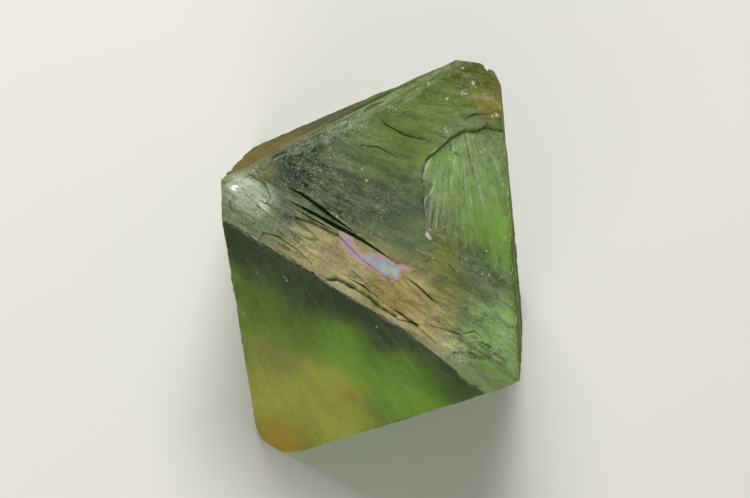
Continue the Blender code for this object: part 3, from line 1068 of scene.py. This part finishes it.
def fluorite():
    """Clear green fluorite with a satin cleavage surface: fibrous, streaky, and bruised pale along its steps,
    with painted highlights on the ledges' lips and painted shade in its grooves.
    """
    n = Nodes("green_fluorite")
    zone = n.attribute("zone", "Color")
    lip, dark, white = n.split(n.attribute("marks", "Color"))
    worn = n.attribute("marks", "Alpha")
    broken = n.attribute("broken")
    film = n.attribute("film")
    rough = n.attribute("rough")
    matt = n.attribute("matt")
    fibre = n.attribute("grain", "Vector")
    place = n.add("ShaderNodeTexCoord", None, None, "Object")
    marks = {name: n.rgb(colour) for name, colour in MARK_COLOURS.items()}

    # Fibres and slates wander a little to each side of the grain.
    wander = n.add("ShaderNodeTexNoise", None, {"Vector": place, "Scale": 320.0, "Detail": 3.0}, "Color")
    reach = (2.0, 1.1, 0)
    wavy = n.add("ShaderNodeVectorMath", {"operation": "MULTIPLY_ADD"}, {0: wander, 1: reach, 2: fibre})
    broad = n.noise(n.stretched(wavy, 0.11, 0.6, 0), 1.0, 3.0, 0.55)
    fibres = n.noise(n.stretched(wavy, 0.3, 2.0, 0), 1.0, 3.0, 0.65)
    slate, slate_rim = n.slates(n.stretched(wavy, 0.12, 0.7, 0))
    chip, chip_rim = n.slates(n.stretched(wavy, 0.4, 1.7, 0))
    clouds = n.noise(place, 190.0, 3.0, 0.6)
    mottle = n.noise(place, 800.0, 4.0, 0.7)
    grit = n.noise(place, 4600.0, 2.0, 0.7)

    busy = clouds.eased(0.36, 0.6)
    flaky = rough * (0.35 + 0.65 * busy)
    shade = 1.0 + (0.3 + 0.9 * rough) * (broad - 0.5) + (0.5 + 0.7 * rough) * (clouds - 0.5)
    shade = shade + rough * (0.6 * (fibres - 0.5) + 1.1 * (mottle - 0.5) + 1.3 * (grit - 0.5))
    shade = shade + flaky * (0.3 * (slate - 0.5) + 0.25 * (chip - 0.5))
    colour = n.mix(1.0, zone, n.grey(shade), "MULTIPLY")

    milk = fibres.eased(0.46, 0.66) * mottle.eased(0.4, 0.66) * flaky * 0.45
    colour = n.mix(milk, colour, n.mix(0.55, marks["milk"], zone))
    # Pale lines along some cells' rims are painted highlights, where the ledges catch the light.
    rim_highlights = chip_rim * chip.eased(0.5, 0.9) * flaky * 0.35
    colour = n.mix(rim_highlights, colour, marks["painted rim highlight"])
    slate_shade = slate_rim * slate.eased(0.6, 0.9) * flaky * 0.5
    chip_shade = chip_rim * (1 - chip.eased(0.1, 0.4)) * flaky * 0.35
    dark_rims = (slate_shade + chip_shade).clamped()
    colour = n.mix(dark_rims, colour, n.mix(1.0, zone, marks["dark rim"], "MULTIPLY"))
    # Chalk: pale wear along the edges and on broken walls, and a painted highlight along the ledges' lips.
    edges = worn * (0.25 + 0.75 * mottle.eased(0.35, 0.62))
    chalk_and_lip_highlight = (lip * (0.2 + grit) * 0.6 + broken * (0.12 + 0.2 * worn) + edges * 0.9).clamped() * 0.75
    colour = n.mix(chalk_and_lip_highlight, colour, marks["chalk_and_lip_highlight"])
    # Dark marks: the cracks' own dark, and the painted shade in the top face's grooves.
    colour = n.mix((dark * (0.6 + 0.5 * mottle)).clamped(), colour, marks["crack"])
    # Frost: whitish specks, whose white also paints the sparkle of the sheen.
    frost_and_sparkle = grit.eased(0.56, 0.74) * mottle.eased(0.42, 0.62) * flaky * 0.5
    colour = n.mix(frost_and_sparkle, colour, marks["frost_and_sparkle"])
    # Flecks: white specks whose white also paints their sparkle, and a painted highlight at the glint.
    speckled = (1.5 * white + 2.2 * (grit - 0.5) + 1.0 * (mottle - 0.5) - 0.75).eased(0.0, 0.45)
    colour = n.mix(speckled * 0.95, colour, marks["fleck"])

    glints = (frost_and_sparkle + ((white - 0.85) * 1.6).clamped()).clamped()

    # The film's colours, a painted reflection, go from its rim to its middle, and along it.
    depth = film * (0.4 + 1.2 * mottle)
    run = n.split_place(fibre)[2] / FILM_LENGTH + FILM_SHIFT
    hue = depth * (0.25 + 0.35 * run) + (fibres - 0.5) * 0.8 + (mottle - 0.5) * 0.5
    stops = [(place_on_ramp, linear(shown)) for place_on_ramp, shown in FILM_COLOURS]
    rainbow = n.add("ShaderNodeValToRGB", {"stops": stops}, {"Fac": hue.clamped()})
    colour = n.mix((depth.eased(0.0, 0.4) * (0.6 + 0.7 * grit)).clamped(), colour, rainbow)

    roughness = 0.24 + 0.12 * rough.clamped() + 0.16 * (chip - 0.5) * rough
    roughness = roughness + 0.15 * chalk_and_lip_highlight + 0.6 * matt + 0.2 * broken
    height = 0.6 * fibres + 0.5 * mottle + 0.12 * grit
    bump = n.add(
        "ShaderNodeBump", None, {"Strength": 0.8, "Distance": BUMP_HEIGHT * MM, "Height": height * rough}
    )
    surface = n.add(
        "ShaderNodeBsdfPrincipled",
        None,
        {
            "Base Color": colour,
            "Roughness": roughness,
            "Normal": bump,
            "Coat Weight": glints,
            "Coat Roughness": 0.12,
            "IOR": FLUORITE_IOR,
            "Transmission Weight": TRANSMISSION,
            "Specular IOR Level": SPECULAR,
        },
    )
    volume = n.add(
        "ShaderNodeVolumeAbsorption", None, {"Color": ABSORPTION, "Density": ABSORPTION_DENSITY}
    )
    return n.finish(Surface=surface, Volume=volume)


def floor_paper():
    """Plain pale matt paper."""
    n = Nodes("pale_paper")
    mottle = n.noise(n.add("ShaderNodeTexCoord", None, None, "Object"), 60.0, 2.0)
    colour = n.mix(mottle * 0.15, n.rgb((208, 208, 205)), n.rgb((201, 201, 198)))
    paper = n.add("ShaderNodeBsdfPrincipled", None, {"Base Color": colour, "Roughness": 0.8})
    return n.finish(Surface=paper)


# ---------------------------------------------------------------- floor, light and camera

def floor():
    """A wide pale disc that the crystal lies on."""
    disc = bmesh.new()
    bmesh.ops.create_circle(disc, cap_ends=True, segments=96, radius=FLOOR_RADIUS)
    mesh = bpy.data.meshes.new("pale_floor")
    disc.to_mesh(mesh)
    disc.free()
    mesh.materials.append(floor_paper())
    piece = bpy.data.objects.new("pale_floor", mesh)
    bpy.context.scene.collection.objects.link(piece)
    return piece


def softbox(name, place, aim, size, watts, colour):
    """A square light that faces a point. Lengths are in metres."""
    light = bpy.data.lights.new(name, "AREA")
    light.size = size
    light.energy = watts
    light.color = colour
    lamp = bpy.data.objects.new(name, light)
    lamp.location = place
    lamp.rotation_euler = (Vector(aim) - Vector(place)).to_track_quat("-Z", "Y").to_euler()
    bpy.context.scene.collection.objects.link(lamp)


def light_and_air():
    """Soft light from above and behind, and pale air all round."""
    world = bpy.data.worlds.new("pale_air")
    world.use_nodes = True
    air = world.node_tree.nodes["Background"]
    air.inputs["Color"].default_value = (1.0, 0.98, 0.94, 1)
    air.inputs["Strength"].default_value = 0.22
    bpy.context.scene.world = world
    softbox("softbox_behind", (-0.3, 0.3, 0.5), (0, 0, 0.015), 0.35, 5.2, (1.0, 0.98, 0.95))
    softbox("softbox_in_front", (0.1, -0.6, 0.14), (0, 0, 0.012), 0.4, 3.2, (1.0, 0.97, 0.92))
    bpy.context.scene.view_settings.view_transform = "Standard"


def camera():
    """The camera, rolled about its own line of sight."""
    lens = bpy.data.cameras.new("camera")
    lens.lens = LENS
    lens.sensor_width = SENSOR_WIDTH
    view = bpy.data.objects.new("camera", lens)
    back = direction(CAMERA_HEADING, CAMERA_ELEVATION)
    turn = back.to_track_quat("Z", "Y").to_matrix() @ Matrix.Rotation(math.radians(CAMERA_ROLL), 3, "Z")
    view.matrix_world = Matrix.Translation((Vector(AIM) + CAMERA_DISTANCE * back) * MM) @ turn.to_4x4()
    bpy.context.scene.collection.objects.link(view)
    bpy.context.scene.camera = view


piece = crystal()
piece.data.materials.append(fluorite())
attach(piece, "root")
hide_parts(NODE)
floor()
light_and_air()
camera()
